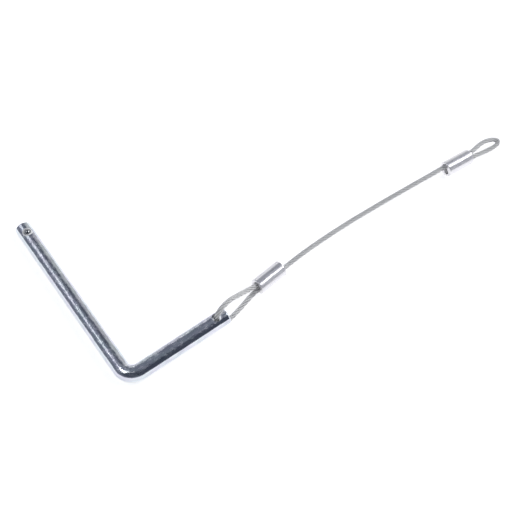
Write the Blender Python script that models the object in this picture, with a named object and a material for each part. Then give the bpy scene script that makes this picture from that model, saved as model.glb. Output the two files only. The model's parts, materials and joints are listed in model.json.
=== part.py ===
"""Hitch pin lock: an L-shaped detent pin with a wire rope lanyard, lying on a flat surface.

The long leg (shank) lies along +Y, the short leg (handle) points along +X, and +Z is up. The rope
passes under the handle's end and props it up, so the plane of the L leans about the shank's axis.
The origin is under the middle of the pin's box, on the surface that it lies on. Metres throughout.
"""

import math

import bmesh
import bpy
from mathutils import Matrix, Vector

# Driving dimensions
ROD_DIAMETER = 0.00794  # 5/16 in bar
SHANK_LENGTH = 0.1002  # from the handle's axis to the tip
HANDLE_LENGTH = 0.0515  # from the shank's axis to the end
BEND_RADIUS = 0.0062  # of the bar's centreline
LEAN = math.radians(4.5)  # how far the rope lifts the handle's end
BALL_DIAMETER = 0.003175  # 1/8 in ball
BALL_TO_TIP = 0.0070
HOLE_DIAMETER = 0.0042
HOLE_TO_CORNER = 0.0464  # along the handle, from the shank's axis
ROPE_DIAMETER = 0.0025  # 3/32 in rope, which measures a little over its nominal size
FERRULE_DIAMETER = 0.0081
FERRULE_LENGTH = 0.0154

# Sizes that follow from them, and small details
ROD_RADIUS = ROD_DIAMETER / 2
TIP_CHAMFER = 0.0011
HANDLE_CHAMFER = 0.0006
HOLE_CHAMFER = 0.0005
BALL_PROUD = 0.0009  # how far the ball stands above the bar
BORE_CLEARANCE = 0.00016  # between the ball and its bore
LIP_RADIUS = 0.00150  # of the staked mouth, less than the ball's own radius
LIP_HEIGHT = 0.0008
BORE_DEPTH = 0.0062
SPRING_WIRE = 0.00035
SPRING_DIAMETER = 0.0028
SPRING_TURNS = 4.5
SPRING_GAP = 0.00012
LANE_OFFSET = 0.0014  # from a ferrule's axis to each part of the rope in it
LANE_RADIUS = 0.00145
FERRULE_BEVEL = 0.0004
ROPE_END_DEPTH = 0.0015  # the rope's dead ends stop this far inside the ferrules

ROD_SIDES = 40
BORE_SIDES = 32
ROPE_TURN = math.radians(22)  # a point at least this often round a bend
ROPE_STEP = 0.0058  # and at least this often along a straight stretch

# The pin's box runs from the outer side of the bend to the two ends.
HANDLE_REACH = HANDLE_LENGTH * math.cos(LEAN) + (ROD_RADIUS - HANDLE_CHAMFER) * math.sin(LEAN)
CORNER = Vector(((ROD_RADIUS - HANDLE_REACH) / 2, (ROD_RADIUS - SHANK_LENGTH) / 2, 0))

# Where the ferrules lie: their middle, their yaw and the lean of the plane through their two lanes,
# from the corner of the L
PIN_END_FERRULE = (Vector((0.0800, 0.00745, FERRULE_DIAMETER / 2)), math.radians(8.5), math.radians(67))
FREE_END_FERRULE = (Vector((0.1990, 0.00900, FERRULE_DIAMETER / 2)), math.radians(-1.8), math.radians(53))

# The rope's own route outside the ferrules, from the corner of the L, in millimetres
LOOP_ROUTE = (
    (71.2, 6.5, 5.7),
    (66.2, 5.3, 8.0),
    (60.6, 3.9, 11.2),
    (54.8, 2.4, 13.9),
    (50.8, 1.2, 14.6),
    (47.9, 0.3, 13.9),
    (46.3, 0.0, 12.0),
    (45.95, 0.0, 9.6),
    (46.0, 0.0, 7.2),
    (46.6, 0.0, 4.9),
    (48.0, 0.0, 2.9),
    (50.2, 0.2, 1.6),
    (53.4, 0.9, 1.28),
    (57.4, 1.9, 1.3),
    (62.2, 3.2, 1.6),
    (67.4, 4.7, 2.3),
    (71.0, 5.5, 2.7),
)
RUN_ROUTE = (
    (90.2, 8.5, 2.8),
    (95.3, 9.2, 2.9),
    (104.4, 10.2, 3.0),
    (113.6, 10.9, 3.0),
    (122.9, 11.35, 3.0),
    (132.3, 11.65, 3.1),
    (141.7, 11.65, 3.2),
    (151.1, 11.5, 3.5),
    (160.5, 11.2, 3.9),
    (170.0, 10.8, 4.4),
    (179.5, 10.4, 4.8),
    (187.0, 10.15, 5.1),
)
EYE_ROUTE = (
    (210.4, 9.7, 5.4),
    (214.5, 10.4, 5.6),
    (218.8, 10.75, 5.5),
    (222.6, 10.4, 4.9),
    (225.6, 9.55, 4.1),
    (227.1, 8.6, 3.4),
    (226.2, 7.4, 2.8),
    (223.2, 7.0, 2.3),
    (219.2, 7.3, 2.2),
    (215.0, 7.6, 2.4),
    (211.0, 7.9, 2.8),
)
MM = 0.001


def clear_scene():
    for obj in list(bpy.data.objects):
        bpy.data.objects.remove(obj, do_unlink=True)


def new_collection(name, hidden):
    collection = bpy.data.collections.new(name)
    collection.hide_render = hidden
    bpy.context.scene.collection.children.link(collection)
    return collection


def new_material(name, colour, roughness, metallic):
    material = bpy.data.materials.new(name)
    material.use_nodes = True
    surface = material.node_tree.nodes["Principled BSDF"]
    surface.inputs["Base Color"].default_value = (*colour, 1)
    surface.inputs["Roughness"].default_value = roughness
    surface.inputs["Metallic"].default_value = metallic
    return material


def new_object(name, data, collection, material=None):
    obj = bpy.data.objects.new(name, data)
    collection.objects.link(obj)
    if material:
        data.materials.append(material)
    return obj


def new_cutter(name, mesh):
    cutter = new_object(name, mesh, CUTTERS)
    cutter.hide_render = True
    cutter.display_type = "WIRE"
    return cutter


def cut(obj, cutter):
    modifier = obj.modifiers.new(cutter.name, "BOOLEAN")
    modifier.operation = "DIFFERENCE"
    modifier.object = cutter


def shade_round(mesh):
    mesh.shade_smooth()
    mesh.set_sharp_from_angle(angle=math.radians(35))


def poly_curve(name, points, depth, resolution, radii=None):
    """A round bar or wire of radius depth along the points, with filled ends."""
    curve = bpy.data.curves.new(name, "CURVE")
    curve.dimensions = "3D"
    curve.bevel_depth = depth
    curve.bevel_resolution = resolution
    curve.use_fill_caps = True
    spline = curve.splines.new("POLY")
    spline.points.add(len(points) - 1)
    for index, point in enumerate(points):
        spline.points[index].co = (*point, 1)
        if radii:
            spline.points[index].radius = radii[index]
    return curve


def mesh_of_curve(curve_object, name):
    """The curve's own shape as a mesh with welded caps; the curve is removed."""
    bpy.context.view_layer.update()
    graph = bpy.context.evaluated_depsgraph_get()
    mesh = bpy.data.meshes.new_from_object(curve_object.evaluated_get(graph))
    mesh.name = name
    welded = bmesh.new()
    welded.from_mesh(mesh)
    bmesh.ops.remove_doubles(welded, verts=welded.verts, dist=0.00001)
    bmesh.ops.recalc_face_normals(welded, faces=welded.faces)
    welded.to_mesh(mesh)
    welded.free()
    bpy.data.objects.remove(curve_object, do_unlink=True)
    return mesh


def turned_mesh(name, profile, sides):
    """A solid of revolution about Z through closed (radius, height) points, first and last on the axis."""
    made = bmesh.new()
    edges = []
    previous = None
    for radius, height in profile:
        vertex = made.verts.new((radius, 0, height))
        if previous:
            edges.append(made.edges.new((previous, vertex)))
        previous = vertex
    bmesh.ops.spin(
        made,
        geom=list(made.verts) + edges,
        cent=(0, 0, 0),
        axis=(0, 0, 1),
        angle=2 * math.pi,
        steps=sides,
        use_merge=True,
    )
    bmesh.ops.remove_doubles(made, verts=made.verts, dist=0.000001)
    bmesh.ops.recalc_face_normals(made, faces=made.faces)
    mesh = bpy.data.meshes.new(name)
    made.to_mesh(mesh)
    made.free()
    return mesh


# The pin


def in_leaning_plane(along_handle, along_shank, across=0):
    """A point of the bar's own plane: the plane turns about the shank's axis, which stays level."""
    flat = Vector((along_handle, along_shank, across))
    return Matrix.Rotation(-LEAN, 3, "Y") @ flat + Vector((0, 0, ROD_RADIUS))


def rod_route():
    """Points and relative radii from the tip of the shank, round the bend, to the handle's end."""
    end_share = 1 - TIP_CHAMFER / ROD_RADIUS
    points = [
        (0, SHANK_LENGTH, end_share),
        (0, SHANK_LENGTH - TIP_CHAMFER, 1),
    ]
    bend_steps = 12
    for step in range(bend_steps + 1):
        turn = math.radians(90) * step / bend_steps
        along_handle = BEND_RADIUS * (1 - math.cos(turn))
        along_shank = BEND_RADIUS * (1 - math.sin(turn))
        points.append((along_handle, along_shank, 1))
    points.append((HANDLE_LENGTH - HANDLE_CHAMFER, 0, 1))
    points.append((HANDLE_LENGTH, 0, 1 - HANDLE_CHAMFER / ROD_RADIUS))
    return [in_leaning_plane(x, y) for x, y, _ in points], [share for _, _, share in points]


def hole_cutter():
    """A straight hole with a chamfered mouth on both sides of the bar."""
    reach = ROD_RADIUS + 0.001
    radius = HOLE_DIAMETER / 2
    flare = radius + HOLE_CHAMFER + reach - ROD_RADIUS
    neck = ROD_RADIUS - HOLE_CHAMFER
    profile = [(0, reach), (flare, reach), (radius, neck), (radius, -neck), (flare, -reach), (0, -reach)]
    cutter = new_cutter("lanyard_hole", turned_mesh("lanyard_hole", profile, BORE_SIDES))
    cutter.location = CORNER + in_leaning_plane(HOLE_TO_CORNER, 0)
    cutter.rotation_euler = (0, -LEAN, 0)
    return cutter


def ball_bore_cutter(ball_centre):
    """A blind bore that narrows to the staked lip at the bar's surface."""
    bore = BALL_DIAMETER / 2 + BORE_CLEARANCE
    top = ROD_DIAMETER + 0.001
    floor = ROD_DIAMETER - BORE_DEPTH
    lip_foot = ROD_DIAMETER - LIP_HEIGHT
    profile = [(0, top), (LIP_RADIUS, top), (LIP_RADIUS, ROD_DIAMETER), (bore, lip_foot), (bore, floor), (0, floor)]
    cutter = new_cutter("detent_bore", turned_mesh("detent_bore", profile, BORE_SIDES))
    cutter.location = (ball_centre.x, ball_centre.y, 0)
    return cutter


def make_rod(ball_centre):
    points, shares = rod_route()
    curve = poly_curve("pin_rod_route", points, ROD_RADIUS, ROD_SIDES // 4 - 1, shares)
    mesh = mesh_of_curve(new_object("pin_rod_route", curve, CUTTERS), "pin_rod")
    rod = new_object("pin_rod", mesh, PARTS, ZINC)
    rod.location = CORNER
    cut(rod, hole_cutter())
    cut(rod, ball_bore_cutter(ball_centre))
    shade_round(mesh)


def make_ball(centre):
    made = bmesh.new()
    bmesh.ops.create_uvsphere(made, u_segments=24, v_segments=14, radius=BALL_DIAMETER / 2)
    mesh = bpy.data.meshes.new("detent_ball")
    made.to_mesh(mesh)
    made.free()
    mesh.shade_smooth()
    ball = new_object("detent_ball", mesh, PARTS, BALL_STEEL)
    ball.location = centre


def make_spring(ball_centre):
    """A compression spring from the bore's floor to the underside of the ball."""
    low = ROD_DIAMETER - BORE_DEPTH + SPRING_GAP + SPRING_WIRE / 2
    coil_radius = (SPRING_DIAMETER - SPRING_WIRE) / 2
    seat = math.sqrt((BALL_DIAMETER / 2) ** 2 - coil_radius**2)
    high = ball_centre.z - seat - SPRING_WIRE - SPRING_GAP
    turn_points = 14
    steps = int(SPRING_TURNS * turn_points)
    points = []
    for step in range(steps + 1):
        turn = 2 * math.pi * step / turn_points
        height = low + (high - low) * step / steps
        points.append((coil_radius * math.cos(turn), coil_radius * math.sin(turn), height))
    curve = poly_curve("detent_spring", points, SPRING_WIRE / 2, 1)
    spring = new_object("detent_spring", curve, PARTS, SPRING_STEEL)
    spring.location = (ball_centre.x, ball_centre.y, 0)


# The lanyard


def ferrule_matrix(place):
    """The ferrule's own Z runs along its axis, away from the pin, and its own X points to the upper lane."""
    middle, yaw, lane_lean = place
    along = Vector((math.cos(yaw), math.sin(yaw), 0))
    across = Vector((-math.sin(yaw), math.cos(yaw), 0))
    to_lane = across * math.cos(lane_lean) + Vector((0, 0, math.sin(lane_lean)))
    turn = Matrix((to_lane, along.cross(to_lane), along)).transposed()
    return Matrix.Translation(middle) @ turn.to_4x4()


def lane_points(place, side, start, stop):
    """Points of one lane of a ferrule, side +1 for the upper one, between two places along its axis."""
    matrix = ferrule_matrix(place)
    steps = 3
    return [
        matrix @ Vector((side * LANE_OFFSET, 0, start + (stop - start) * step / steps))
        for step in range(steps + 1)
    ]


def route_points(route):
    return [Vector(point) * MM for point in route]


def rope_route():
    """The whole rope: dead end, loop through the handle's hole, run, free eye, dead end."""
    mouth = FERRULE_LENGTH / 2
    dead_end = mouth - ROPE_END_DEPTH
    return (
        lane_points(PIN_END_FERRULE, 1, dead_end, -mouth)
        + route_points(LOOP_ROUTE)
        + lane_points(PIN_END_FERRULE, -1, -mouth, mouth)
        + route_points(RUN_ROUTE)
        + lane_points(FREE_END_FERRULE, 1, -mouth, mouth)
        + route_points(EYE_ROUTE)
        + lane_points(FREE_END_FERRULE, -1, mouth, -dead_end)
    )


def smooth_curve(points, steps=24):
    """A centripetal Catmull-Rom curve through the points, finely divided."""
    first = points[0] * 2 - points[1]
    last = points[-1] * 2 - points[-2]
    padded = [first, *points, last]
    curve = []
    for p0, p1, p2, p3 in zip(padded, padded[1:], padded[2:], padded[3:]):
        t1 = math.sqrt((p1 - p0).length)
        t2 = t1 + math.sqrt((p2 - p1).length)
        t3 = t2 + math.sqrt((p3 - p2).length)
        for step in range(steps):
            t = t1 + (t2 - t1) * step / steps
            a1 = p0.lerp(p1, t / t1)
            a2 = p1.lerp(p2, (t - t1) / (t2 - t1))
            a3 = p2.lerp(p3, (t - t2) / (t3 - t2))
            b1 = a1.lerp(a2, t / t2)
            b2 = a2.lerp(a3, (t - t1) / (t3 - t1))
            curve.append(b1.lerp(b2, (t - t1) / (t2 - t1)))
    curve.append(points[-1])
    return curve


def thinned(curve):
    """The curve's points at bends and along straight stretches, as few as keep its shape."""
    kept = [curve[0]]
    heading = curve[1] - curve[0]
    for point, following in zip(curve[1:], curve[2:]):
        step = following - point
        if step.angle(heading) > ROPE_TURN or (following - kept[-1]).length > ROPE_STEP:
            kept.append(point)
            heading = step
    kept.append(curve[-1])
    return kept


def make_rope():
    points = thinned(smooth_curve(rope_route()))
    curve = poly_curve("lanyard_rope", points, ROPE_DIAMETER / 2, 2)
    rope = new_object("lanyard_rope", curve, PARTS, ROPE_WIRE)
    rope.location = CORNER


def lane_cutter_mesh():
    """A slot along Z with round ends: a cylinder pulled apart to the two lanes."""
    sides = 24
    made = bmesh.new()
    bmesh.ops.create_cone(
        made,
        cap_ends=True,
        segments=sides,
        radius1=LANE_RADIUS,
        radius2=LANE_RADIUS,
        depth=FERRULE_LENGTH + 0.002,
        matrix=Matrix.Rotation(math.pi / sides, 4, "Z"),
    )
    for vertex in made.verts:
        vertex.co.x += math.copysign(LANE_OFFSET, vertex.co.x)
    mesh = bpy.data.meshes.new("rope_lanes")
    made.to_mesh(mesh)
    made.free()
    return mesh


def make_ferrule(name, place, lanes_mesh):
    radius = FERRULE_DIAMETER / 2
    made = bmesh.new()
    bmesh.ops.create_cone(
        made, cap_ends=True, segments=ROD_SIDES, radius1=radius, radius2=radius, depth=FERRULE_LENGTH
    )
    rims = [edge for edge in made.edges if abs(edge.verts[0].co.z - edge.verts[1].co.z) < radius / 100]
    bmesh.ops.bevel(made, geom=rims, offset=FERRULE_BEVEL, segments=3, profile=0.5, affect="EDGES")
    mesh = bpy.data.meshes.new(name)
    made.to_mesh(mesh)
    made.free()
    shade_round(mesh)
    ferrule = new_object(name, mesh, PARTS, ALUMINIUM)
    ferrule.matrix_world = Matrix.Translation(CORNER) @ ferrule_matrix(place)
    lanes = new_cutter(name + "_lanes", lanes_mesh)
    lanes.matrix_world = ferrule.matrix_world
    cut(ferrule, lanes)


def main():
    ball_centre = CORNER + Vector(
        (0, SHANK_LENGTH - BALL_TO_TIP, ROD_DIAMETER + BALL_PROUD - BALL_DIAMETER / 2)
    )
    make_rod(ball_centre)
    make_ball(ball_centre)
    make_spring(ball_centre)
    make_rope()
    lanes_mesh = lane_cutter_mesh()
    make_ferrule("pin_end_ferrule", PIN_END_FERRULE, lanes_mesh)
    make_ferrule("free_end_ferrule", FREE_END_FERRULE, lanes_mesh)


clear_scene()
PARTS = new_collection("hitch_pin_lock", hidden=False)
CUTTERS = new_collection("cutters", hidden=True)
ZINC = new_material("zinc_plated_steel", (0.62, 0.65, 0.70), 0.22, 1.0)
BALL_STEEL = new_material("ball_steel", (0.55, 0.56, 0.58), 0.15, 1.0)
SPRING_STEEL = new_material("spring_steel", (0.35, 0.35, 0.36), 0.35, 1.0)
ROPE_WIRE = new_material("galvanised_rope", (0.60, 0.60, 0.60), 0.40, 1.0)
ALUMINIUM = new_material("swaged_aluminium", (0.78, 0.77, 0.80), 0.25, 1.0)
main()
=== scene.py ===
"""The looks of the hitch pin lock: an L-shaped detent pin with a wire rope lanyard, in metres, +Z up.

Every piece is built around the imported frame. The bar's straight and bent stretches, its cross hole and the
staked ball seat come from one description of the bar in its own leaning plane; the lanyard's pieces follow
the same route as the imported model's.
"""

import json
import math

import bmesh
import bpy
import numpy as np
from mathutils import Matrix, Vector


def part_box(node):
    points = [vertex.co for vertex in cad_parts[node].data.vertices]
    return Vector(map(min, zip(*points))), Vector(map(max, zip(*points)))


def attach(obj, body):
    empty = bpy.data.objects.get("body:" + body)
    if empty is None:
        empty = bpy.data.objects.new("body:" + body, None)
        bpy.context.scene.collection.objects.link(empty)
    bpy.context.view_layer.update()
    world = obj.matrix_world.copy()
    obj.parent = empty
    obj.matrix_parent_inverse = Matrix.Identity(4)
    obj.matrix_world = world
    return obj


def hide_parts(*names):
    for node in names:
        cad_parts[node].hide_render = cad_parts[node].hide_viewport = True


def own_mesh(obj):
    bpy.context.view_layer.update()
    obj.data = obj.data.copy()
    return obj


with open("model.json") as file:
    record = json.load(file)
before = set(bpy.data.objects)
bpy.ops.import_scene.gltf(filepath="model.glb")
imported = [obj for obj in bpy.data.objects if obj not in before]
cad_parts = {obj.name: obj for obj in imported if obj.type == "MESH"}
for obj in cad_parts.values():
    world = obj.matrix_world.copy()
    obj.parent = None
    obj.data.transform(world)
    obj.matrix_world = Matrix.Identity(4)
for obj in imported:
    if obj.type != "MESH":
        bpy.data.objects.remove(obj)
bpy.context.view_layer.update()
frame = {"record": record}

# What the frame says: the shank's tip and handle's end are mounts, the ball and spring are nodes
MOUNTS = {mount["name"]: mount for mount in frame["record"]["mounts"]}
TIP = Vector(MOUNTS["shank_tip"]["pos_m"])
HANDLE_END = Vector(MOUNTS["handle_end"]["pos_m"])
HANDLE_AXIS = Vector(MOUNTS["handle_end"]["axis"])
BALL_LOW, BALL_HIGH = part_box("detent_ball")
SPRING_LOW, SPRING_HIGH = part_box("detent_spring")

ROD_RADIUS = TIP.z
CORNER = Vector((TIP.x, HANDLE_END.y, 0))  # where the two legs' axes meet, on the floor
LEAN = math.atan2(HANDLE_AXIS.z, HANDLE_AXIS.x)  # the rope lifts the handle's end
SHANK_LENGTH = TIP.y - CORNER.y
HANDLE_LENGTH = (HANDLE_END - CORNER - Vector((0, 0, ROD_RADIUS))).length
BALL_CENTRE = (BALL_LOW + BALL_HIGH) / 2
BALL_RADIUS = (BALL_HIGH.z - BALL_LOW.z) / 2

# The bar's own details
BEND_RADIUS = 0.0062
TIP_CHAMFER = 0.0011
HANDLE_CHAMFER = 0.0006
TIP_ROUNDING = 0.0003
HANDLE_ROUNDING = 0.7 * TIP_ROUNDING
HOLE_TO_CORNER = 0.0464
HOLE_RADIUS = 0.0021
HOLE_LIP = 0.00025
LIP_START = math.radians(12)  # the lip's arc begins this steep, so that the cut has a clean rim
BAR_SIDES = 96
STATION_STEP = 0.002
BEND_STEPS = 30
OVER = 0.001  # how far a cutter stands past the surface
SURFACE_TOLERANCE = 0.000002
NEARLY_ZERO = 1e-9

# The staked seat of the detent ball, as distances from the ball's vertical axis
SEAT_PLUG = 0.00245
SEAT_OUTER = 0.00246
SEAT_BORE = 0.00175
SEAT_DEPTH = 0.00095
SEAT_GAP = 0.00005
SEAT_OVERLAP = 0.00004  # how far the ring reaches into the ledge it stands on
SEAT_INSET = 0.00002  # how far the ring's lower wall stands inside the bore
SOCKET_START = 0.00004  # how far below the crest's inner rim the socket begins
SOCKET_END = 0.0002  # how far below the ball's middle the straight wall begins
SEAT_SIDES = 96
STAKED_REACH = SEAT_OUTER - 0.00003  # the bare metal stops just inside the ring's outer edge

# The lanyard
ROPE_DIAMETER = 0.0025
STRAND_SPREAD = 0.00003  # the worn rope's strands stand this much further out than tight ones
STRANDS = 6
STRAND_LAY = 0.0165  # length of one turn of a strand round the rope
WIRE_LAY = 0.0072  # length of one turn of a wire round its strand
WIRES = 6
WIRE_POINTS = 4  # points across each wire's outer side
ROPE_STEP = 0.00065
FERRULE_DIAMETER = 0.0081
FERRULE_LENGTH = 0.0154
FERRULE_ROUNDING = 0.0005
FERRULE_SIDES = 96
LANE_OFFSET = 0.0014
LANE_RADIUS = 0.00140
LANE_LIP = 0.00022
ROPE_END_DEPTH = 0.0015

SPRING_WIRE = 0.00035
SPRING_TURNS = 4.5

PIN_END_FERRULE = (Vector((0.0800, 0.00745, FERRULE_DIAMETER / 2)), math.radians(8.5), math.radians(67))
FREE_END_FERRULE = (Vector((0.1990, 0.00900, FERRULE_DIAMETER / 2)), math.radians(-1.8), math.radians(53))

# The rope's own route outside the ferrules, from the corner of the L, in metres
LOOP_ROUTE = (
    (0.0712, 0.0065, 0.0057),
    (0.0662, 0.0053, 0.0080),
    (0.0606, 0.0039, 0.0112),
    (0.0548, 0.0024, 0.0139),
    (0.0508, 0.0012, 0.0146),
    (0.0479, 0.0003, 0.0139),
    (0.0463, 0.0, 0.0120),
    (0.04595, 0.0, 0.0096),
    (0.0460, 0.0, 0.0072),
    (0.0466, 0.0, 0.0049),
    (0.0480, 0.0, 0.0029),
    (0.0502, 0.0002, 0.0016),
    (0.0534, 0.0009, 0.00128),
    (0.0574, 0.0019, 0.0013),
    (0.0622, 0.0032, 0.0016),
    (0.0674, 0.0047, 0.0023),
    (0.0710, 0.0055, 0.0027),
)
RUN_ROUTE = (
    (0.0902, 0.0085, 0.0028),
    (0.0953, 0.0092, 0.0029),
    (0.1044, 0.0102, 0.0030),
    (0.1136, 0.0109, 0.0030),
    (0.1229, 0.01135, 0.0030),
    (0.1323, 0.01165, 0.0031),
    (0.1417, 0.01165, 0.0032),
    (0.1511, 0.0115, 0.0035),
    (0.1605, 0.0112, 0.0039),
    (0.1700, 0.0108, 0.0044),
    (0.1795, 0.0104, 0.0048),
    (0.1870, 0.01015, 0.0051),
)
EYE_ROUTE = (
    (0.2104, 0.0097, 0.0054),
    (0.2145, 0.0104, 0.0056),
    (0.2188, 0.01075, 0.0055),
    (0.2226, 0.0104, 0.0049),
    (0.2256, 0.00955, 0.0041),
    (0.2271, 0.0086, 0.0034),
    (0.2262, 0.0074, 0.0028),
    (0.2232, 0.0070, 0.0023),
    (0.2192, 0.0073, 0.0022),
    (0.2150, 0.0076, 0.0024),
    (0.2110, 0.0079, 0.0028),
)


# Meshes


def new_object(name, mesh, material):
    obj = bpy.data.objects.new(name, mesh)
    bpy.context.scene.collection.objects.link(obj)
    if material:
        mesh.materials.append(material)
    return obj


def lofted_mesh(name, rings, ring_joined=False):
    """A closed mesh through equally long rings: flat ends, or the last ring joined to the first."""
    rings = np.asarray(rings, float)
    count, sides = rings.shape[:2]
    spans = count if ring_joined else count - 1
    faces = []
    for ring in range(spans):
        low = ring * sides
        high = (ring + 1) % count * sides
        for side in range(sides):
            after = (side + 1) % sides
            faces.append((low + side, low + after, high + after, high + side))
    if not ring_joined:
        faces.append(tuple(reversed(range(sides))))
        faces.append(tuple(range((count - 1) * sides, count * sides)))
    mesh = bpy.data.meshes.new(name)
    mesh.from_pydata(rings.reshape(-1, 3).tolist(), [], faces)
    made = bmesh.new()
    made.from_mesh(mesh)
    bmesh.ops.recalc_face_normals(made, faces=made.faces)
    made.to_mesh(mesh)
    made.free()
    return mesh


def rounded(corners, radius, steps=5):
    """A flat outline whose inner corners are rounded off, as 2D points."""
    corners = [Vector(corner) for corner in corners]
    points = [corners[0]]
    for before, corner, after in zip(corners, corners[1:], corners[2:]):
        back = (before - corner).normalized()
        forth = (after - corner).normalized()
        trim = min(radius / math.tan(back.angle(forth) / 2), 0.48 * (before - corner).length)
        trim = min(trim, 0.48 * (after - corner).length)
        for step in range(steps + 1):
            t = step / steps
            points.append(corner + back * trim * (1 - t) ** 2 + forth * trim * t**2)
    points.append(corners[-1])
    return points


def circle(sides):
    return [2 * math.pi * side / sides for side in range(sides)]


def shade_round(mesh, angle=35):
    mesh.shade_smooth()
    mesh.set_sharp_from_angle(angle=math.radians(angle))


def vertex_places(mesh):
    places = np.zeros(len(mesh.vertices) * 3)
    mesh.vertices.foreach_get("co", places)
    return places.reshape(-1, 3)


def keep_for_material(mesh, name, kind, field, values):
    """Stores one value per point, or one vector, for the mesh's material to read."""
    attribute = mesh.attributes.new(name, kind, "POINT")
    attribute.data.foreach_set(field, values.astype(np.float32).ravel())


def boolean(obj, operation, other_mesh):
    """Joins other_mesh to obj or cuts it away, for good."""
    other = new_object("cutter", other_mesh, None)
    modifier = obj.modifiers.new("cut", "BOOLEAN")
    modifier.operation = operation
    modifier.object = other
    bpy.context.view_layer.update()
    graph = bpy.context.evaluated_depsgraph_get()
    result = bpy.data.meshes.new_from_object(obj.evaluated_get(graph))
    obj.modifiers.clear()
    obj.data = result
    bpy.data.objects.remove(other, do_unlink=True)


# The bar, in its own leaning plane: u along the handle, v along the shank, w out of the plane


def to_row(u, v, w=0.0):
    """A point of the bar's own plane in the row frame: the plane turns about the shank's axis."""
    flat = Vector((u, v, w))
    return CORNER + Vector((0, 0, ROD_RADIUS)) + Matrix.Rotation(-LEAN, 3, "Y") @ flat


def to_plane(points):
    """Points of the row frame as u, v and w."""
    shifted = points - np.array(CORNER) - np.array((0, 0, ROD_RADIUS))
    return shifted @ np.array(Matrix.Rotation(-LEAN, 3, "Y"))


SHANK_STRAIGHT = SHANK_LENGTH - BEND_RADIUS
BEND_LENGTH = BEND_RADIUS * math.pi / 2
BAR_LENGTH = SHANK_STRAIGHT + BEND_LENGTH + HANDLE_LENGTH - BEND_RADIUS


def bar_axis(distance):
    """The axis's place (u, v) and heading at a distance from the tip."""
    if distance <= SHANK_STRAIGHT:
        return (0, SHANK_LENGTH - distance), (0, -1)
    if distance >= SHANK_STRAIGHT + BEND_LENGTH:
        return (distance - SHANK_STRAIGHT - BEND_LENGTH + BEND_RADIUS, 0), (1, 0)
    turn = (distance - SHANK_STRAIGHT) / BEND_RADIUS
    place = (BEND_RADIUS * (1 - math.cos(turn)), BEND_RADIUS * (1 - math.sin(turn)))
    return place, (math.sin(turn), -math.cos(turn))


def even_steps(start, stop, count):
    return [start + (stop - start) * step / count for step in range(1, count)]


def bar_end(chamfer, rounding):
    """Distances from an end face with the bar's radius there, over the chamfer."""
    face = ROD_RADIUS - chamfer
    corners = [(0, face / 2), (0, face), (chamfer, ROD_RADIUS), (chamfer * 2, ROD_RADIUS)]
    return [(point.x, point.y) for point in rounded(corners, rounding)]


def bar_stations():
    """Distances from the tip with the bar's radius there, chamfers included."""
    tip = bar_end(TIP_CHAMFER, TIP_ROUNDING)
    end = bar_end(HANDLE_CHAMFER, HANDLE_ROUNDING)
    first = tip[-1][0]
    last = BAR_LENGTH - end[-1][0]
    bend_start = SHANK_STRAIGHT
    bend_end = SHANK_STRAIGHT + BEND_LENGTH
    middle = even_steps(first, bend_start, round((bend_start - first) / STATION_STEP))
    middle += [bend_start, *even_steps(bend_start, bend_end, BEND_STEPS), bend_end]
    middle += even_steps(bend_end, last, round((last - bend_end) / STATION_STEP))
    return [
        *tip,
        *((distance, ROD_RADIUS) for distance in middle),
        *((BAR_LENGTH - distance, radius) for distance, radius in reversed(end)),
    ]


def bar_rings():
    rings = []
    for distance, radius in bar_stations():
        (u, v), (heading_u, heading_v) = bar_axis(distance)
        ring = []
        for angle in circle(BAR_SIDES):
            out = radius * math.cos(angle)
            up = radius * math.sin(angle)
            ring.append(to_row(u + out * heading_v, v - out * heading_u, up))
        rings.append(ring)
    return rings


def surface_height(across):
    """How far the bar's surface is above its axis, at a distance across from the axis."""
    return math.sqrt(ROD_RADIUS**2 - across**2)


def hole_mesh():
    """The cross hole with a rounded lip that follows the bar's round surface on both sides."""
    arc_steps = 6
    start = HOLE_RADIUS + HOLE_LIP * (1 - math.sin(LIP_START))
    profile = []
    for step in range(arc_steps + 1):
        angle = LIP_START + (math.pi / 2 - LIP_START) * step / arc_steps
        profile.append((HOLE_RADIUS + HOLE_LIP * (1 - math.sin(angle)), HOLE_LIP * (1 - math.cos(angle))))
    rings = []
    for side in (1, -1):
        outside = side * (ROD_RADIUS + OVER)
        half = [[
            to_row(HOLE_TO_CORNER + start * math.cos(angle), start * math.sin(angle), outside)
            for angle in circle(BAR_SIDES)
        ]]
        for radius, depth in profile:
            ring = []
            for angle in circle(BAR_SIDES):
                across = radius * math.sin(angle)
                height = side * (surface_height(across) - depth)
                ring.append(to_row(HOLE_TO_CORNER + radius * math.cos(angle), across, height))
            half.append(ring)
        rings += half if side > 0 else half[::-1]
    return lofted_mesh("cross_hole", rings)


def turned_rings(profile, centre, sides):
    """Rings about the vertical through centre, from (radius, height above the floor) points."""
    return [
        [(centre.x + r * math.cos(a), centre.y + r * math.sin(a), z) for a in circle(sides)]
        for r, z in profile
    ]


def seat_cutter():
    """What is cut from the shank for the ball's bore and for the staked seat round it."""
    floor = SPRING_LOW.z - SEAT_GAP * 2
    ledge = 2 * ROD_RADIUS - SEAT_DEPTH
    top = 2 * ROD_RADIUS + OVER
    profile = [(SEAT_BORE, floor), (SEAT_BORE, ledge), (SEAT_PLUG, ledge), (SEAT_PLUG, top)]
    return lofted_mesh("seat_cut", turned_rings(profile, BALL_CENTRE, SEAT_SIDES))


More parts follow.
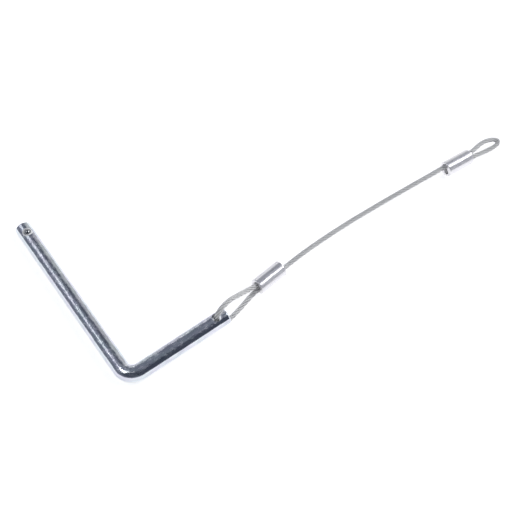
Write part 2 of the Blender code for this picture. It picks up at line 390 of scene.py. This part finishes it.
def seat_mesh():
    """The staked seat: a ring with a groove and a raised lip that is pressed in over the ball."""
    crest = (
        (SEAT_OUTER, -0.00001),
        (0.00241, -0.00005),
        (0.00234, -0.00008),
        (0.00227, -0.00002),
        (0.00219, 0.00009),
        (0.00209, 0.00016),
        (0.00197, 0.00019),
        (0.00185, 0.00017),
        (0.00175, 0.00011),
        (0.00168, 0.00002),
        (0.00164, -0.00008),
    )
    ledge = 2 * ROD_RADIUS - SEAT_DEPTH - SEAT_OVERLAP
    socket = BALL_RADIUS + SEAT_GAP
    wall = SEAT_BORE - SEAT_INSET
    socket_steps = 5
    columns = []
    for angle in circle(SEAT_SIDES):
        cos = math.cos(angle)
        sin = math.sin(angle)
        column = [(SEAT_OUTER, ledge)]
        for radius, height in crest:
            column.append((radius, ROD_RADIUS + surface_height(radius * cos) + height))
        top = column[-1][1] - SOCKET_START
        for step in range(socket_steps + 1):
            height = top + (BALL_CENTRE.z - top) * step / socket_steps
            column.append((math.sqrt(socket**2 - (height - BALL_CENTRE.z) ** 2), height))
        column.append((wall, BALL_CENTRE.z - SOCKET_END))
        column.append((wall, ledge))
        columns.append([(BALL_CENTRE.x + r * cos, BALL_CENTRE.y + r * sin, z) for r, z in column])
    rings = [list(ring) for ring in zip(*columns)]
    return lofted_mesh("ball_seat", rings, ring_joined=True)


def bar_coordinates(points):
    """For points of the row frame: distance along the bar, the vector from its axis, and its length."""
    plane = to_plane(points)
    u, v, w = plane.T
    in_bend = (u < BEND_RADIUS) & (v < BEND_RADIUS)
    on_shank = ~in_bend & (v >= BEND_RADIUS)
    turn = np.arctan2(BEND_RADIUS - v, BEND_RADIUS - u)
    axis_u = np.where(on_shank, 0, np.where(in_bend, BEND_RADIUS * (1 - np.cos(turn)), u))
    axis_v = np.where(on_shank, v, np.where(in_bend, BEND_RADIUS * (1 - np.sin(turn)), 0))
    along_bend = SHANK_STRAIGHT + BEND_RADIUS * turn
    along_handle = SHANK_STRAIGHT + BEND_LENGTH + u - BEND_RADIUS
    along = np.where(on_shank, SHANK_LENGTH - v, np.where(in_bend, along_bend, along_handle))
    outward = np.stack([u - axis_u, v - axis_v, w], 1)
    return along, outward, np.linalg.norm(outward, axis=1)


def make_normals_round(mesh, outward, reach):
    """Exact normals where every corner of a face is on the bar's round surface."""
    to_world = np.array(Matrix.Rotation(-LEAN, 3, "Y"))
    round_normals = (outward / np.maximum(reach, NEARLY_ZERO)[:, None]) @ to_world.T
    on_surface = np.abs(reach - ROD_RADIUS) < SURFACE_TOLERANCE
    normals = np.zeros(len(mesh.loops) * 3)
    mesh.corner_normals.foreach_get("vector", normals)
    normals = normals.reshape(-1, 3)
    corners = np.zeros(len(mesh.loops), int)
    mesh.loops.foreach_get("vertex_index", corners)
    for face in mesh.polygons:
        loops = list(face.loop_indices)
        if on_surface[corners[loops]].all():
            normals[loops] = round_normals[corners[loops]]
    mesh.normals_split_custom_set(normals.tolist())


def finish_bar_surface(mesh):
    """Smooth shading, and what the bar's material reads: the straightened bar, and where it is staked."""
    shade_round(mesh)
    places = vertex_places(mesh)
    along, outward, reach = bar_coordinates(places)
    make_normals_round(mesh, outward, reach)
    # Across the plane and out of it, so that a pattern runs round the bar without a seam
    radial = np.hypot(outward[:, 0], outward[:, 1]) * np.sign(outward[:, 0] + outward[:, 1] + 1e-12)
    straight = np.stack([along, radial, outward[:, 2]], 1)
    keep_for_material(mesh, "straight_bar", "FLOAT_VECTOR", "vector", straight)
    from_ball = places - np.array(BALL_CENTRE)
    staked = (np.hypot(from_ball[:, 0], from_ball[:, 1]) < STAKED_REACH) & (from_ball[:, 2] > 0)
    keep_for_material(mesh, "staked", "FLOAT", "value", staked)


def make_bar():
    bar = new_object("bent_bar", lofted_mesh("bent_bar", bar_rings()), None)
    boolean(bar, "DIFFERENCE", hole_mesh())
    boolean(bar, "DIFFERENCE", seat_cutter())
    boolean(bar, "UNION", seat_mesh())
    bar.data.materials.clear()
    bar.data.materials.append(zinc_plate())
    finish_bar_surface(bar.data)
    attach(bar, "pin")
    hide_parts("pin_rod")


def make_ball():
    mesh = bpy.data.meshes.new("detent_ball_fine")
    made = bmesh.new()
    bmesh.ops.create_icosphere(made, subdivisions=5, radius=BALL_RADIUS)
    made.to_mesh(mesh)
    made.free()
    mesh.shade_smooth()
    ball = new_object("steel_ball", mesh, ball_steel())
    ball.location = BALL_CENTRE
    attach(ball, "ball")
    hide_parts("detent_ball")


def tube_rings(line, radius, sides):
    """Rings of a round wire along a line of points."""
    _, normals, sideways = turning_frames(line)
    angles = np.array(circle(sides))[None, :, None]
    around = np.cos(angles) * normals[:, None] + np.sin(angles) * sideways[:, None]
    return line[:, None] + radius * around


def make_spring():
    """The hidden compression spring: ground flat turns are left out, as the bore hides them."""
    coil = (SPRING_HIGH.x - SPRING_LOW.x) / 2 - SPRING_WIRE / 2
    centre = (SPRING_LOW + SPRING_HIGH) / 2
    low = SPRING_LOW.z + SPRING_WIRE / 2
    high = SPRING_HIGH.z - SPRING_WIRE / 2
    steps = int(SPRING_TURNS * 28)
    line = []
    for step in range(steps + 1):
        turn = 2 * math.pi * SPRING_TURNS * step / steps
        height = low + (high - low) * step / steps
        line.append((centre.x + coil * math.cos(turn), centre.y + coil * math.sin(turn), height))
    mesh = lofted_mesh("coil_spring", tube_rings(np.array(line), SPRING_WIRE / 2, 12))
    shade_round(mesh, 60)
    spring = new_object("coil_spring", mesh, spring_steel())
    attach(spring, "pin")
    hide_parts("detent_spring")
    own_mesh(spring)


# The lanyard


def ferrule_matrix(place):
    """Its own Z runs along the ferrule, away from the pin, and its own X points to the upper lane."""
    middle, yaw, lane_lean = place
    along = Vector((math.cos(yaw), math.sin(yaw), 0))
    across = Vector((-math.sin(yaw), math.cos(yaw), 0))
    to_lane = across * math.cos(lane_lean) + Vector((0, 0, math.sin(lane_lean)))
    turn = Matrix((to_lane, along.cross(to_lane), along)).transposed()
    return Matrix.Translation(CORNER + middle) @ turn.to_4x4()


def lane_points(place, side, start, stop):
    """Points of one lane of a ferrule, side +1 for the upper one, between two places along its axis."""
    matrix = ferrule_matrix(place)
    steps = 3
    return [
        matrix @ Vector((side * LANE_OFFSET, 0, start + (stop - start) * step / steps))
        for step in range(steps + 1)
    ]


def route_points(route):
    return [CORNER + Vector(point) for point in route]


def rope_route():
    """The whole rope: dead end, loop through the handle's hole, run, free eye, dead end."""
    mouth = FERRULE_LENGTH / 2
    dead_end = mouth - ROPE_END_DEPTH
    return (
        lane_points(PIN_END_FERRULE, 1, dead_end, -mouth)
        + route_points(LOOP_ROUTE)
        + lane_points(PIN_END_FERRULE, -1, -mouth, mouth)
        + route_points(RUN_ROUTE)
        + lane_points(FREE_END_FERRULE, 1, -mouth, mouth)
        + route_points(EYE_ROUTE)
        + lane_points(FREE_END_FERRULE, -1, mouth, -dead_end)
    )


def smooth_curve(points, steps=24):
    """A centripetal Catmull-Rom curve through the points, finely divided."""
    first = points[0] * 2 - points[1]
    last = points[-1] * 2 - points[-2]
    padded = [first, *points, last]
    curve = []
    for p0, p1, p2, p3 in zip(padded, padded[1:], padded[2:], padded[3:]):
        t1 = math.sqrt((p1 - p0).length)
        t2 = t1 + math.sqrt((p2 - p1).length)
        t3 = t2 + math.sqrt((p3 - p2).length)
        for step in range(steps):
            t = t1 + (t2 - t1) * step / steps
            a1 = p0.lerp(p1, t / t1)
            a2 = p1.lerp(p2, (t - t1) / (t2 - t1))
            a3 = p2.lerp(p3, (t - t2) / (t3 - t2))
            b1 = a1.lerp(a2, t / t2)
            b2 = a2.lerp(a3, (t - t1) / (t3 - t1))
            curve.append(b1.lerp(b2, (t - t1) / (t2 - t1)))
    curve.append(points[-1])
    return curve


def evenly_spaced(curve, step):
    """Points a constant distance apart along a finely divided curve, and their distances from its start."""
    fine = np.array([tuple(point) for point in curve])
    lengths = np.concatenate([[0], np.cumsum(np.linalg.norm(np.diff(fine, axis=0), axis=1))])
    count = int(round(lengths[-1] / step)) + 1
    places = np.linspace(0, lengths[-1], count)
    return np.stack([np.interp(places, lengths, fine[:, axis]) for axis in range(3)], 1), places


def turning_frames(line):
    """Tangents, and two directions across the line that turn no more than the line does."""
    tangents = np.gradient(line, axis=0)
    tangents /= np.linalg.norm(tangents, axis=1)[:, None]
    normals = np.zeros_like(line)
    start = np.cross(tangents[0], (0, 0, 1))
    if np.linalg.norm(start) < 0.1:
        start = np.cross(tangents[0], (0, 1, 0))
    normals[0] = start / np.linalg.norm(start)
    for index in range(1, len(line)):
        across = normals[index - 1] - tangents[index] * (normals[index - 1] @ tangents[index])
        normals[index] = across / np.linalg.norm(across)
    return tangents, normals, np.cross(tangents, normals)


def strand_rings(line, places, frames, offset, start_angle, strand_radius):
    """Rings of one strand: a bundle of wires that turns against the strand's own turn round the rope."""
    _, normals, sideways = frames
    turn = start_angle + 2 * math.pi * places / STRAND_LAY
    outward = np.cos(turn)[:, None] * normals + np.sin(turn)[:, None] * sideways
    around = -np.sin(turn)[:, None] * normals + np.cos(turn)[:, None] * sideways
    centre = line + offset * outward
    sides = WIRES * WIRE_POINTS
    wire_radius = strand_radius / 3
    rings = []
    for side in range(sides):
        # The outline of six wires round one, as the distance of their outer sides from the strand's middle
        wire, share = divmod(side, WIRE_POINTS)
        swing = (share / WIRE_POINTS - 0.5) * 2 * math.pi / WIRES
        reach = 2 * wire_radius * math.cos(swing)
        reach += math.sqrt(max(wire_radius**2 - (2 * wire_radius * math.sin(swing)) ** 2, 0))
        angle = 2 * math.pi * wire / WIRES + swing - 2 * math.pi * places / WIRE_LAY
        rings.append(
            centre + reach * (np.cos(angle)[:, None] * outward + np.sin(angle)[:, None] * around)
        )
    return np.stack(rings, 1)


def make_rope():
    line, places = evenly_spaced(smooth_curve(rope_route()), ROPE_STEP)
    frames = turning_frames(line)
    strand_radius = ROPE_DIAMETER / 6
    joined = bmesh.new()
    for strand in range(STRANDS + 1):
        in_core = strand == STRANDS
        offset = 0 if in_core else 2 * strand_radius + STRAND_SPREAD
        rings = strand_rings(line, places, frames, offset, 2 * math.pi * strand / STRANDS, strand_radius)
        mesh = lofted_mesh("strand", rings)
        joined.from_mesh(mesh)
        bpy.data.meshes.remove(mesh)
    mesh = bpy.data.meshes.new("wire_rope")
    joined.to_mesh(mesh)
    joined.free()
    shade_round(mesh, 40)
    rope = new_object("wire_rope", mesh, galvanised_wire())
    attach(rope, "lanyard")
    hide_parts("lanyard_rope")
    return rope, line, float(places[-1])


def lane_outline(radius):
    """The outline of both lanes, as places at equal turns about the ferrule's axis."""
    outline = []
    for angle in circle(FERRULE_SIDES):
        x, y = math.cos(angle), math.sin(angle)
        straight = radius / max(abs(y), NEARLY_ZERO)
        if abs(x) * straight <= LANE_OFFSET:
            reach = straight
        else:
            reach = LANE_OFFSET * abs(x) + math.sqrt(radius**2 - (LANE_OFFSET * y) ** 2)
        outline.append((reach * x, reach * y))
    return outline


def ferrule_mesh():
    """A sleeve with rounded rims round two lanes with softly rounded mouths."""
    radius = FERRULE_DIAMETER / 2
    half = FERRULE_LENGTH / 2
    face = (radius + LANE_OFFSET + LANE_RADIUS) / 2
    corners = [(half - 2 * FERRULE_ROUNDING, radius), (half, radius), (half, face)]
    rim = rounded(corners, FERRULE_ROUNDING, 7)
    outer = [
        [(point.y * math.cos(a), point.y * math.sin(a), point.x) for a in circle(FERRULE_SIDES)]
        for point in rim[:-1]
    ]
    lip_steps = 5
    inner = []
    for step in range(lip_steps + 1):
        angle = math.pi / 2 * step / lip_steps
        widening = LANE_LIP * (1 - math.sin(angle))
        depth = LANE_LIP * (1 - math.cos(angle))
        inner.append([(x, y, half - depth) for x, y in lane_outline(LANE_RADIUS + widening)])
    near = outer + inner
    far = [[(x, y, -z) for x, y, z in ring] for ring in reversed(near)]
    return lofted_mesh("swaged_ferrule", near + far, ring_joined=True)


def make_ferrule(name, node, place, material):
    """One ferrule, laid in its place, which keeps its own coordinates for its material."""
    mesh = ferrule_mesh()
    keep_for_material(mesh, "own_place", "FLOAT_VECTOR", "vector", vertex_places(mesh))
    mesh.transform(ferrule_matrix(place))
    shade_round(mesh, 50)
    ferrule = new_object(name, mesh, material)
    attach(ferrule, "lanyard")
    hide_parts(node)
    return ferrule


def make_lanyard():
    rope, line, length = make_rope()
    material = swaged_aluminium()
    near = make_ferrule("ferrule_at_pin", "pin_end_ferrule", PIN_END_FERRULE, material)
    far = make_ferrule("ferrule_at_eye", "free_end_ferrule", FREE_END_FERRULE, material)


# Materials


def add(tree, kind, inputs=None, **settings):
    """A node with its settings, whose inputs are linked from sockets or set to values."""
    node = tree.nodes.new(kind)
    for name, value in settings.items():
        setattr(node, name, value)
    for name, value in (inputs or {}).items():
        if isinstance(value, bpy.types.NodeSocket):
            tree.links.new(value, node.inputs[name])
        else:
            node.inputs[name].default_value = value
    return node


def new_material(name, metallic):
    material = bpy.data.materials.new(name)
    material.use_nodes = True
    surface = material.node_tree.nodes["Principled BSDF"]
    surface.inputs["Metallic"].default_value = metallic
    return material, material.node_tree, surface


def stretched(tree, vector, scale):
    return add(tree, "ShaderNodeMapping", {"Vector": vector, "Scale": scale}).outputs[0]


def noise(tree, vector, scale, detail=2.0, roughness=0.5):
    inputs = {"Vector": vector, "Scale": scale, "Detail": detail, "Roughness": roughness}
    return add(tree, "ShaderNodeTexNoise", inputs).outputs["Fac"]


def ranged(tree, value, low, high, to_low, to_high):
    inputs = {"Value": value, "From Min": low, "From Max": high, "To Min": to_low, "To Max": to_high}
    return add(tree, "ShaderNodeMapRange", inputs).outputs[0]


def mixed(tree, factor, first, second):
    """One colour fading into another, each a socket or red, green and blue."""
    if not isinstance(first, bpy.types.NodeSocket):
        first = (*first, 1)
    if not isinstance(second, bpy.types.NodeSocket):
        second = (*second, 1)
    inputs = {0: factor, 6: first, 7: second}
    return add(tree, "ShaderNodeMix", inputs, data_type="RGBA").outputs[2]


def calculated(tree, operation, first, second):
    return add(tree, "ShaderNodeMath", {0: first, 1: second}, operation=operation).outputs[0]


def bumped(tree, height, distance, strength=1.0, below=None):
    inputs = {"Height": height, "Distance": distance, "Strength": strength}
    if below:
        inputs["Normal"] = below
    return add(tree, "ShaderNodeBump", inputs).outputs[0]


def zinc_plate():
    """Bright zinc over drawn bar: tinted, cloudy plating, finely scuffed on its upper side."""
    material, tree, surface = new_material("zinc_plate", 1.0)
    bar = add(tree, "ShaderNodeAttribute", attribute_name="straight_bar").outputs["Vector"]
    height = add(tree, "ShaderNodeSeparateXYZ", {"Vector": bar}).outputs["Z"]
    clouds = noise(tree, stretched(tree, bar, (0.5, 1, 1)), 420, 4, 0.6)
    grain = noise(tree, stretched(tree, bar, (0.5, 1, 1)), 850, 2, 0.5)
    peel = noise(tree, stretched(tree, bar, (0.6, 1, 1)), 950, 2, 0.5)
    lines = noise(tree, stretched(tree, bar, (0.06, 1, 1)), 2600, 3, 0.6)
    tints = noise(tree, stretched(tree, bar, (0.4, 1, 1)), 260, 3, 0.6)
    staked = add(tree, "ShaderNodeAttribute", attribute_name="staked").outputs["Fac"]
    cloudy = ranged(tree, clouds, 0.35, 0.65, 0, 1)
    violet = mixed(tree, cloudy, (0.57, 0.57, 0.65), (0.70, 0.70, 0.76))
    cyan = mixed(tree, cloudy, (0.54, 0.59, 0.63), (0.68, 0.72, 0.75))
    plating = mixed(tree, ranged(tree, tints, 0.42, 0.58, 0, 1), violet, cyan)
    bare = mixed(tree, clouds, (0.80, 0.80, 0.80), (0.92, 0.92, 0.91))
    tree.links.new(mixed(tree, staked, plating, bare), surface.inputs["Base Color"])
    tree.links.new(ranged(tree, staked, 0, 1, 1.0, 0.35), surface.inputs["Metallic"])
    upper_side = ranged(tree, height, 0.62 * ROD_RADIUS, 0.84 * ROD_RADIUS, 0, 1)
    scuffs = calculated(tree, "MULTIPLY", ranged(tree, grain, 0.45, 0.60, 0, 0.22), upper_side)
    roughness = calculated(tree, "ADD", ranged(tree, clouds, 0.3, 0.7, 0.06, 0.11), scuffs)
    roughness = calculated(tree, "ADD", roughness, ranged(tree, staked, 0, 1, 0, 0.25))
    tree.links.new(roughness, surface.inputs["Roughness"])
    normal = bumped(tree, peel, 0.00012, upper_side)
    normal = bumped(tree, lines, 0.00002, 1.0, normal)
    tree.links.new(normal, surface.inputs["Normal"])
    return material


def ball_steel():
    """A hardened, polished ball with hair scratches."""
    material, tree, surface = new_material("ball_steel", 1.0)
    place = add(tree, "ShaderNodeTexCoord").outputs["Object"]
    marks = noise(tree, stretched(tree, place, (1, 3, 1)), 1800, 4, 0.7)
    colour = mixed(tree, marks, (0.24, 0.25, 0.26), (0.34, 0.35, 0.36))
    tree.links.new(colour, surface.inputs["Base Color"])
    tree.links.new(ranged(tree, marks, 0.3, 0.7, 0.04, 0.10), surface.inputs["Roughness"])
    tree.links.new(bumped(tree, marks, 0.000003), surface.inputs["Normal"])
    return material


def spring_steel():
    """Drawn spring wire, dull grey."""
    material, tree, surface = new_material("spring_wire", 1.0)
    place = add(tree, "ShaderNodeTexCoord").outputs["Object"]
    grain = noise(tree, place, 5000, 3)
    tree.links.new(mixed(tree, grain, (0.25, 0.25, 0.26), (0.42, 0.42, 0.43)), surface.inputs["Base Color"])
    tree.links.new(ranged(tree, grain, 0.3, 0.7, 0.3, 0.5), surface.inputs["Roughness"])
    tree.links.new(bumped(tree, grain, 0.00001), surface.inputs["Normal"])
    return material


def galvanised_wire():
    """Galvanised wires: pale matt zinc, darker and rougher in patches, with shade painted into the grooves.
    """
    material, tree, surface = new_material("galvanised_wire", 0.1)
    place = add(tree, "ShaderNodeTexCoord").outputs["Object"]
    patches = noise(tree, place, 500, 4, 0.65)
    grain = noise(tree, place, 4200, 3, 0.6)
    wires = mixed(tree, ranged(tree, patches, 0.3, 0.7, 0, 1), (0.90, 0.895, 0.885), (0.98, 0.975, 0.965))
    # Painted shade: a darker, grainy grey is mixed in where the strands hide one another, in the grooves
    # between the wires.
    painted_groove_shade = mixed(tree, grain, (0.40, 0.40, 0.39), (0.56, 0.56, 0.55))
    groove = add(tree, "ShaderNodeAmbientOcclusion", {"Distance": 0.0006}, samples=8, only_local=True)
    colour = mixed(tree, ranged(tree, groove.outputs["AO"], 0.45, 0.85, 0, 1), painted_groove_shade, wires)
    tree.links.new(colour, surface.inputs["Base Color"])
    tree.links.new(ranged(tree, patches, 0.3, 0.7, 0.52, 0.38), surface.inputs["Roughness"])
    tree.links.new(bumped(tree, grain, 0.00002), surface.inputs["Normal"])
    return material


def swaged_aluminium():
    """Aluminium pressed in a die: fine streaks along the sleeve and soft pressing marks."""
    material, tree, surface = new_material("swaged_aluminium", 0.76)
    place = add(tree, "ShaderNodeAttribute", attribute_name="own_place").outputs["Vector"]
    streaks = noise(tree, stretched(tree, place, (1, 1, 0.05)), 3200, 4, 0.65)
    dents = noise(tree, stretched(tree, place, (1, 1, 0.6)), 420, 2, 0.5)
    tone = noise(tree, stretched(tree, place, (1, 1, 0.25)), 700, 4, 0.6)
    colour = mixed(tree, ranged(tree, tone, 0.3, 0.7, 0, 1), (0.77, 0.755, 0.775), (0.86, 0.845, 0.865))
    tree.links.new(colour, surface.inputs["Base Color"])
    tree.links.new(ranged(tree, tone, 0.3, 0.7, 0.24, 0.35), surface.inputs["Roughness"])
    normal = bumped(tree, dents, 0.00008)
    normal = bumped(tree, streaks, 0.00001, 1.0, normal)
    tree.links.new(normal, surface.inputs["Normal"])
    return material


# The studio

FLOOR_HALF = 3.0
LIGHT_AIM = Vector((0.06, -0.02, 0))
LIGHT_DISTANCE = 2.0
CAMERA_AZIMUTH = math.radians(-35.355)
CAMERA_ELEVATION = math.radians(54.815)
CAMERA_DISTANCE = 0.4288
CAMERA_TARGET = CORNER + Vector((0.083769, 0.023220, 0))


def make_floor():
    """A pale light table: it glows, so that hardly any shadow shows on it."""
    mesh = bpy.data.meshes.new("floor")
    signs = ((-1, -1), (1, -1), (1, 1), (-1, 1))
    corners = [(x * FLOOR_HALF, y * FLOOR_HALF, 0) for x, y in signs]
    mesh.from_pydata(corners, [], [(0, 1, 2, 3)])
    material, _, surface = new_material("pale_floor", 0.0)
    surface.inputs["Base Color"].default_value = (0.82, 0.82, 0.82, 1)
    surface.inputs["Roughness"].default_value = 0.9
    surface.inputs["Specular IOR Level"].default_value = 0.0
    surface.inputs["Emission Color"].default_value = (1, 1, 1, 1)
    surface.inputs["Emission Strength"].default_value = 0.67
    new_object("floor", mesh, material)


def glow(tree, direction, inner, outer, colour):
    """Light from round a direction, full within inner degrees and gone past outer ones."""
    towards = add(tree, "ShaderNodeTexCoord").outputs["Generated"]
    middle = Vector(direction).normalized()
    facing = add(tree, "ShaderNodeVectorMath", {0: towards, 1: middle}, operation="DOT_PRODUCT")
    inputs = {
        "Value": facing.outputs["Value"],
        "From Min": math.cos(math.radians(outer)),
        "From Max": math.cos(math.radians(inner)),
    }
    share = add(tree, "ShaderNodeMapRange", inputs, interpolation_type="SMOOTHSTEP").outputs[0]
    return add(tree, "ShaderNodeVectorMath", {0: colour, "Scale": share}, operation="SCALE").outputs[0]


def make_world():
    """The room round the table: dim and bluish, with pale walls beyond and darker patches elsewhere."""
    world = bpy.data.worlds.new("studio")
    bpy.context.scene.world = world
    world.use_nodes = True
    tree = world.node_tree
    total = (0.21, 0.23, 0.28)
    glows = (
        ((0.80, 0.57, 0.20), 21, 32, (0.39, 0.38, 0.34)),
        ((0.30, 0.95, 0.08), 22, 36, (0.36, 0.36, 0.34)),
        ((0.24, 0.87, 0.43), 3, 9, (1.30, 1.28, 1.25)),
        ((0.34, 0.52, 0.78), 5, 16, (-0.10, -0.11, -0.13)),
        ((-0.40, 0.50, 0.77), 8, 28, (0.10, 0.11, 0.13)),
        ((0.64, -0.70, 0.32), 6, 18, (0.50, 0.50, 0.50)),
        ((-0.60, -0.40, 0.70), 18, 45, (-0.13, -0.14, -0.16)),
        ((0.15, -0.85, 0.50), 15, 40, (-0.14, -0.15, -0.17)),
    )
    for direction, inner, outer, colour in glows:
        inputs = {0: total, 1: glow(tree, direction, inner, outer, colour)}
        total = add(tree, "ShaderNodeVectorMath", inputs, operation="ADD").outputs[0]
    tree.links.new(total, tree.nodes["Background"].inputs["Color"])


def add_softbox(name, direction, width, height, radiance):
    """A rectangular light that faces the object, of a given brightness as seen in a reflection."""
    data = bpy.data.lights.new(name, "AREA")
    data.shape = "RECTANGLE"
    data.size = width
    data.size_y = height
    data.energy = math.pi * width * height * radiance
    light = bpy.data.objects.new(name, data)
    bpy.context.scene.collection.objects.link(light)
    away = Vector(direction).normalized()
    light.location = LIGHT_AIM + away * LIGHT_DISTANCE
    light.rotation_mode = "QUATERNION"
    light.rotation_quaternion = away.to_track_quat("Z", "Y")


def make_lights():
    add_softbox("key", (-0.52, 0.18, 0.83), 0.85, 0.55, 4.0)
    add_softbox("along_shank", (-0.34, 0.62, 0.71), 0.95, 0.36, 1.1)
    add_softbox("small_right", (0.50, -0.36, 0.79), 0.55, 0.55, 4.6)
    add_softbox("fill", (0.80, -0.10, 0.60), 0.50, 0.50, 19.0)


def make_camera():
    """The photograph's view: about 55 degrees down, from the front and left."""
    level = math.cos(CAMERA_ELEVATION)
    sideways = math.sin(CAMERA_AZIMUTH) * level
    forwards = math.cos(CAMERA_AZIMUTH) * level
    back = Vector((sideways, -forwards, math.sin(CAMERA_ELEVATION)))
    data = bpy.data.cameras.new("camera")
    data.sensor_width = 36
    data.lens = 63.19
    data.clip_start = 0.01
    camera = bpy.data.objects.new("camera", data)
    bpy.context.scene.collection.objects.link(camera)
    camera.location = CAMERA_TARGET + back * CAMERA_DISTANCE
    camera.rotation_mode = "QUATERNION"
    camera.rotation_quaternion = back.to_track_quat("Z", "Y")
    bpy.context.scene.camera = camera


bpy.context.scene.view_settings.view_transform = "Standard"
make_camera()
make_floor()
make_world()
make_lights()
make_bar()
make_ball()
make_spring()
make_lanyard()
